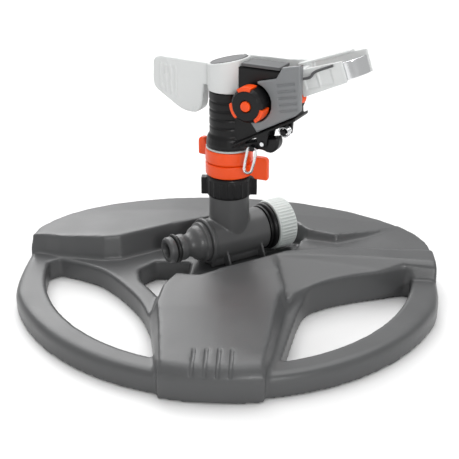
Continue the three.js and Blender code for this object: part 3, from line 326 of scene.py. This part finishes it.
def put(obj, place):
    """Moves a piece from its own upright frame to where it belongs."""
    start(obj, obj.name)
    obj.matrix_world = place
    bpy.ops.object.transform_apply(location=True, rotation=True, scale=True)
    return obj


def united(name, *parts):
    """Joins overlapping parts into one object; soften then makes them one skin."""
    bpy.ops.object.select_all(action="DESELECT")
    for part in parts:
        part.select_set(True)
    bpy.context.view_layer.objects.active = parts[0]
    bpy.ops.object.join()
    return start(parts[0], name)


pipe_axis = 27.5
along_pipe = (
    Matrix.Translation((0, 0, pipe_axis * MM))
    @ Matrix.Rotation(math.radians(34), 4, "Z")
    @ Matrix.Rotation(math.radians(90), 4, "Y")
)
pipe_r = 13.0
riser_r = 12.0
riser_top = 63.5
dark_moulding = moulded("dark_moulding", (0.076, 0.077, 0.078), 0.36, grain=0.1, mottle=0.07)
pipe_run = turned(
    "pipe_run",
    [(0, -18), (pipe_r + 0.9, -18), (pipe_r + 0.9, -15.8), (pipe_r, -15.2), (pipe_r, 22), (10.7, 22),
     (10.7, 28.2), (11.2, 28.8), (11.2, 32), (0, 32)],
)
riser = turned("riser", [(0, pipe_axis), (riser_r, pipe_axis), (riser_r, riser_top), (0, riser_top)])
tee = united("tee", copy_of("tee_body", "tee_webs"), put(pipe_run, along_pipe), riser)
soften(tee, 0.5, 3)
bore = turned("bore", [(0, -40), (9.2, -40), (9.2, 60), (0, 60)], edge=0)
difference(tee, put(bore, along_pipe))
difference(tee, turned("well", [(0, pipe_axis), (8.5, pipe_axis), (8.5, 70), (0, 70)], edge=0))
complete(tee, dark_moulding, "tee_plastic", "tee_body", angle=50)

# ---- Hose nipple ------------------------------------------------------------------------------
# The turned-looking nipple that the hose coupling snaps on to, screwed into the tee, with its
# black O-ring in a groove near the tip.
nipple_face = -18.3
nipple = turned(
    "hose_nipple_turned",
    [(4.9, -42.9), (6.7, -42.9), (7.5, -42.2), (7.75, -41.6), (7.75, -38.9), (6.2, -38.7), (6.2, -35.9),
     (7.75, -35.7), (7.9, -32.6), (7.7, -31.6), (7.0, -30.6), (6.75, -29.4), (6.85, -28.6), (7.4, -27.3),
     (8.5, -25.8), (9.6, -24.9), (10.3, -23.6), (10.55, -22.2), (10.6, -21.3), (12.2, -20.7), (12.2, -18.3),
     (8.9, -18.3), (8.9, -9.3), (6.4, -9.3), (6.4, -16.3), (4.9, -17.3)],
    edge=0.2,
)
complete(put(nipple, along_pipe), dark_moulding, "tee_plastic", "hose_nipple")
black_rubber = moulded("black_rubber", (0.008, 0.008, 0.008), 0.5, grain=0.25, mottle=0.2, grain_size=1600)
ring_points = [
    (7.6 + 1.25 * math.cos(a), -37.3 + 1.1 * math.sin(a))
    for a in [2 * math.pi * i / 20 for i in range(20)]
]
o_ring = turned("o_ring", ring_points, edge=0)
complete(put(o_ring, along_pipe), black_rubber, "rubber", "nipple_o_ring")

# ---- Ring nut and blanking cap ----------------------------------------------------------------
# The black ring nut on the tee's thread, and the light grey cap with fine grip ribs all round.
black_moulding = moulded("black_moulding", (0.006, 0.006, 0.0065), 0.36, grain=0.12, mottle=0.2, gloss=0.28)
ring_nut = turned(
    "ring_nut",
    [(11, 22.3), (13.4, 22.3), (13.6, 22.8), (13.6, 23.6), (12.7, 23.9), (12.7, 24.4), (13.9, 24.7),
     (14.4, 25.2), (14.6, 25.9), (14.4, 26.5), (13.6, 26.8), (13.6, 27.1), (14.2, 27.5), (11, 27.5)],
    edge=0.15,
)
complete(put(ring_nut, along_pipe), black_moulding, "black_plastic", "lock_ring")
pale_moulding = moulded("pale_moulding", (0.53, 0.565, 0.55), 0.45, grain=0.1, mottle=0.05)
cap_from, cap_to, cap_r, cap_ribs = 27.8, 41.2, 15.8, 46
cap = turned(
    "grip_cap",
    [(11.5, cap_from), (15, cap_from), (cap_r - 0.45, cap_from + 0.5), (cap_r - 0.45, cap_to - 1.6),
     (cap_r - 0.9, cap_to - 0.9), (cap_r - 1.9, cap_to - 0.35), (cap_r - 3.2, cap_to), (4, cap_to),
     (3.8, cap_to - 0.5), (0.02, cap_to - 0.5), (0.02, cap_to - 3.6), (11.5, cap_to - 3.6)],
    sides=138,
)
cap_parts = [cap]
for turn in range(cap_ribs):
    bpy.ops.object.select_all(action="DESELECT")
    bpy.ops.mesh.primitive_cylinder_add(vertices=10, radius=0.42 * MM, depth=(cap_to - cap_from - 2.6) * MM)
    rib = start(bpy.context.object, "rib")
    angle = 2 * math.pi * turn / cap_ribs
    rib.location = (
        (cap_r - 0.5) * MM * math.cos(angle),
        (cap_r - 0.5) * MM * math.sin(angle),
        (cap_from + cap_to - 0.4) / 2 * MM,
    )
    bpy.ops.object.transform_apply(location=True, rotation=True, scale=True)
    ease = rib.modifiers.new("ease", "BEVEL")
    ease.width = 0.25 * MM
    ease.segments = 2
    ease.limit_method = "ANGLE"
    apply_all(rib)
    cap_parts.append(rib)
cap = united("grip_cap", *cap_parts)
soften(cap, 0.33, 1)
complete(put(cap, along_pipe), pale_moulding, "cap_plastic", "end_cap", angle=60)

# ---- Wing nut ---------------------------------------------------------------------------------
# The black nut with grip ribs and two small wings that holds the bearing on top of the riser.
nut_drum = turned(
    "nut_drum",
    [(0.02, 55.2), (12.6, 55.2), (13.2, 55.9), (13.2, 66.8), (12.9, 67.6), (12.1, 68.35), (0.02, 68.35)],
)
wing_nut = united("wing_nut_moulding", copy_of("wing_nut", "nut_ribs"), nut_drum)
soften(wing_nut, 0.38, 2)
nut_bore = [(0, 50), (12.25, 50), (12.25, 66.3), (10.25, 66.3), (10.25, 72), (0, 72)]
difference(wing_nut, turned("nut_bore", nut_bore, edge=0))
complete(wing_nut, black_moulding, "black_plastic", "wing_nut", angle=50)

# ---- Stop rings -------------------------------------------------------------------------------
# Two bright orange rings that clip round the sleeve, each with a finger tab, with a thin pale ring
# on top that the head glides on.
orange_moulding = moulded("orange_moulding", (0.95, 0.08, 0.001), 0.38, grain=0.05, mottle=0.05, coat=0.08)
for node, foot in (("lower_stop_ring", 68.7), ("upper_stop_ring", 76.7)):
    band = turned(
        "band",
        [(10.4, foot), (13.5, foot), (14, foot + 0.5), (14, foot + 7.2), (13.5, foot + 7.65),
         (10.4, foot + 7.65)],
        sides=128,
    )
    ring = united(node + "_moulding", copy_of(node, "tab"), band)
    soften(ring, 0.33, 2)
    complete(ring, orange_moulding, "orange_plastic", node, angle=50)
glide = turned(
    "glide_ring_turned",
    [(10.4, 84.72), (13.5, 84.72), (13.6, 84.9), (13.6, 85.5), (13.45, 85.68), (10.4, 85.68)],
    edge=0.1,
)
complete(glide, pale_moulding, "cap_plastic", "glide_ring")

# ---- Head -------------------------------------------------------------------------------------
# The black moulding that turns on the riser: a ribbed neck on a wide collar, the barrel of the jet
# rising to the right, and a flat frame with a keel beneath it. A dark plate closes its top.
in_head = Matrix.Rotation(math.radians(-25), 4, "Z")
on_jet = in_head @ Matrix.Translation((0, 0, 101 * MM)) @ Matrix.Rotation(math.radians(63), 4, "Y")
body_foot = 86.0
body_top = 118.6
neck_outline = [
    (0, body_foot), (13.1, body_foot), (13.4, body_foot + 0.4), (13.4, body_foot + 2.4),
    (13.1, body_foot + 3.2), (12.6, body_foot + 5.8), (11.9, body_foot + 7), (11.4, body_foot + 7.6),
]
band_pitch = (body_top - body_foot - 7.6) / 5
for band in range(1, 5):
    height = body_foot + 7.6 + band * band_pitch
    neck_outline += [
        (11.5, height - 1.0), (10.6, height - 0.55), (10.6, height - 0.05), (11.5, height + 0.4),
    ]
neck_outline += [(11.4, body_top), (0, body_top)]
neck = turned("neck", neck_outline, sides=120, edge=0)
barrel = turned("barrel", [(3.6, 8), (8.2, 8), (8.2, 47), (5.8, 47), (5.8, 39.2), (3.6, 39.2)], edge=0)
head = united("head_moulding", copy_of("head_body", "frame"), neck, put(barrel, on_jet))
soften(head, 0.42, 2)
socket = [(0, 80), (7.5, 80), (7.5, 92.3), (4.6, 92.3), (4.6, 101), (0, 101)]
difference(head, turned("spindle_socket", socket, edge=0))
difference(head, turned("pin_socket", [(0, 110.6), (2.3, 110.6), (2.3, 121), (0, 121)], edge=0))
across_jet = on_jet @ Matrix.Translation((0, 0, 36 * MM)) @ Matrix.Rotation(math.radians(-90), 4, "Y")
breaker_hole = turned("breaker_hole", [(0, 0), (1.6, 0), (1.6, 11.7), (0, 11.7)], edge=0)
difference(head, put(breaker_hole, across_jet))
complete(head, black_moulding, "black_plastic", "head_body", angle=50)
nozzle = turned(
    "nozzle_ring",
    [(3.2, 39.4), (5.5, 39.4), (5.5, 47.6), (6.2, 47.6), (6.4, 47.9), (6.4, 48.7), (6.1, 49.1),
     (4.4, 49.2), (2.7, 48.2)],
    edge=0.15,
)
complete(put(nozzle, on_jet), orange_moulding, "orange_plastic", "jet_nozzle")
grey_plate = moulded("grey_plate", (0.085, 0.087, 0.09), 0.4, grain=0.1, mottle=0.06)
plate = soften(copy_of("frame_cap", "frame_plate"), 0.22, 2)
complete(plate, grey_plate, "dark_plastic", "frame_cap", angle=60)

# ---- Side cover -------------------------------------------------------------------------------
# The mid-grey cover clipped to the near side of the frame, scooped out round the knob, with five
# moulded grip grooves.
cover_moulding = moulded("cover_moulding", (0.215, 0.223, 0.23), 0.36, grain=0.1, mottle=0.05)
cover = soften(copy_of("side_cover", "side_cover_moulding"), 0.26, 2)
complete(cover, cover_moulding, "cover_plastic", "side_cover", angle=50)

# ---- Adjusting knob ---------------------------------------------------------------------------
# A black drum with three orange grip blocks let into its rim and an orange button in the middle.
# It drives a steel pin into the jet to break it up.
knob_x = 20.5
knob_z = 101 + knob_x * math.tan(math.radians(27)) + 5.2
on_side = Matrix.Rotation(math.radians(90), 4, "X")
on_knob = in_head @ Matrix.Translation((knob_x * MM, -9.9 * MM, knob_z * MM)) @ on_side
drum = soften(copy_of("adjust_knob", "knob_drum"), 0.22, 2)
complete(drum, black_moulding, "black_plastic", "adjust_knob", angle=50)
for number in (1, 2, 3):
    grip = soften(copy_of(f"knob_grip_{number}", f"grip_block_{number}"), 0.16, 5)
    complete(grip, orange_moulding, "orange_plastic", f"knob_grip_{number}", angle=60)
button_from, button_to = 8.7, 10.8
button = turned(
    "button",
    [(0, button_from), (2.9, button_from), (2.9, button_to - 0.6), (2.7, button_to - 0.2),
     (2.2, button_to), (0, button_to)],
    edge=0.1,
)
complete(put(button, on_knob), orange_moulding, "orange_plastic", "knob_button")

# ---- Impact arm -------------------------------------------------------------------------------
# The pale grey arm that the jet drives: a wide hub on the pivot pin, a counterweight with four
# ribs behind, and a beam and windowed bay in front. A dark disc closes the hub.
white_moulding = moulded("white_moulding", (0.7, 0.715, 0.71), 0.3, grain=0.04, mottle=0.02, coat=0.15)
arm = soften(copy_of("impact_arm", "arm_moulding"), 0.42, 2)
complete(arm, white_moulding, "light_plastic", "impact_arm", angle=50)
hub_slant = Matrix.Rotation(math.radians(-12), 4, "Y")
disc_tilt = in_head @ Matrix.Translation((0, 0, 135.9 * MM)) @ hub_slant
disc = turned(
    "hub_disc",
    [(0, -0.9), (10.7, -0.9), (10.7, 0.0), (10.4, 0.3), (9.6, 0.35), (9.2, 0.1), (8.9, 0.1), (0, 0.15)],
    edge=0.1,
)
complete(put(disc, disc_tilt), grey_plate, "dark_plastic", "hub_cap")

# ---- Deflector and stay -----------------------------------------------------------------------
# The bright plated plate at the end of the bay that turns the jet aside, and the grey rod that
# braces the bay beside it.
def metal(name, colour, roughness, brushed=0.0):
    """Bright metal with faint drawn lines and small differences in its shine."""
    made = bpy.data.materials.new(name)
    made.use_nodes = True
    nodes = made.node_tree.nodes
    links = made.node_tree.links
    shader = nodes["Principled BSDF"]
    shader.inputs["Base Color"].default_value = (*colour, 1)
    shader.inputs["Metallic"].default_value = 1
    place = nodes.new("ShaderNodeTexCoord")
    cloud = nodes.new("ShaderNodeTexNoise")
    cloud.inputs["Scale"].default_value = 260
    links.new(place.outputs["Object"], cloud.inputs["Vector"])
    shine = nodes.new("ShaderNodeMapRange")
    shine.inputs["To Min"].default_value = roughness
    shine.inputs["To Max"].default_value = roughness + 0.12
    links.new(cloud.outputs["Fac"], shine.inputs["Value"])
    links.new(shine.outputs["Result"], shader.inputs["Roughness"])
    lines = nodes.new("ShaderNodeBump")
    lines.inputs["Strength"].default_value = 0.05 + brushed
    lines.inputs["Distance"].default_value = 0.0002
    links.new(cloud.outputs["Fac"], lines.inputs["Height"])
    links.new(lines.outputs["Normal"], shader.inputs["Normal"])
    return made


bright_plate = metal("bright_plate", (0.8, 0.81, 0.82), 0.08)
mirror = soften(copy_of("deflector", "deflector_plate"), 0.2, 4)
complete(mirror, bright_plate, "bright_metal", "deflector", angle=60)
stay = soften(copy_of("deflector_stay", "stay_rod"), 0.16, 6)
complete(stay, grey_plate, "dark_plastic", "deflector_stay", angle=60)

# ---- Part-circle trip -------------------------------------------------------------------------
# The black lever under the keel that reverses the head, the bright steel wire that hangs from it
# and runs against the stop tabs, and the small spring that snaps it over.
drawn_steel = metal("drawn_steel", (0.72, 0.73, 0.74), 0.16, brushed=0.08)
lever = soften(copy_of("trip_lever", "trip_lever_moulding"), 0.24, 4)
complete(lever, black_moulding, "black_plastic", "trip_lever", angle=60)
loop = soften(copy_of("trip_wire", "wire_loop"), 0.17, 6)
complete(loop, drawn_steel, "steel", "trip_wire", angle=80)


def spring(name, coil_r, wire_r, rise, turns, place):
    """A coil of round wire about Z, its ends closed."""
    steps = int(turns * 28)
    spots = []
    for i in range(steps + 1):
        angle = 2 * math.pi * turns * i / steps
        spots.append((coil_r * math.cos(angle), coil_r * math.sin(angle), rise * i / steps))
    return put(round_line(name, spots, wire_r, 3), place)


trip_place = in_head @ Matrix.Translation((37.5 * MM, -2.6 * MM, 101 * MM)) @ on_side
trip_coil = spring("trip_coil", 2.7, 0.5, 4.2, 3.5, trip_place)
complete(trip_coil, drawn_steel, "steel", "trip_spring", angle=80)
arm_place = in_head @ Matrix.Translation((0, 0, 120.5 * MM))
arm_coil = spring("arm_coil", 7, 0.7, 6.6, 3.5, arm_place)
complete(arm_coil, drawn_steel, "steel", "arm_return_spring", angle=80)

# ---- Small turned parts -----------------------------------------------------------------------
# Screws, pins, strainer, washers and seals: mostly out of sight, in the finishes of the real ones.
turned_brass = metal("turned_brass", (0.7, 0.48, 0.18), 0.2, brushed=0.05)
for node, finish in (
    ("saddle_screw_1", drawn_steel),
    ("saddle_screw_2", drawn_steel),
    ("inlet_strainer", drawn_steel),
    ("arm_pivot_pin", drawn_steel),
    ("trip_pin", drawn_steel),
    ("jet_breaker", drawn_steel),
    ("thrust_washer", turned_brass),
    ("spindle_seal", black_rubber),
    ("end_cap_washer", black_rubber),
    ("bearing_sleeve", grey_plate),
    ("spindle", grey_plate),
):
    shown = frame["nodes"][node]
    shown.data.materials.clear()
    shown.data.materials.append(finish)

[[list(corner) for corner in box] for box in (frame_box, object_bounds())]
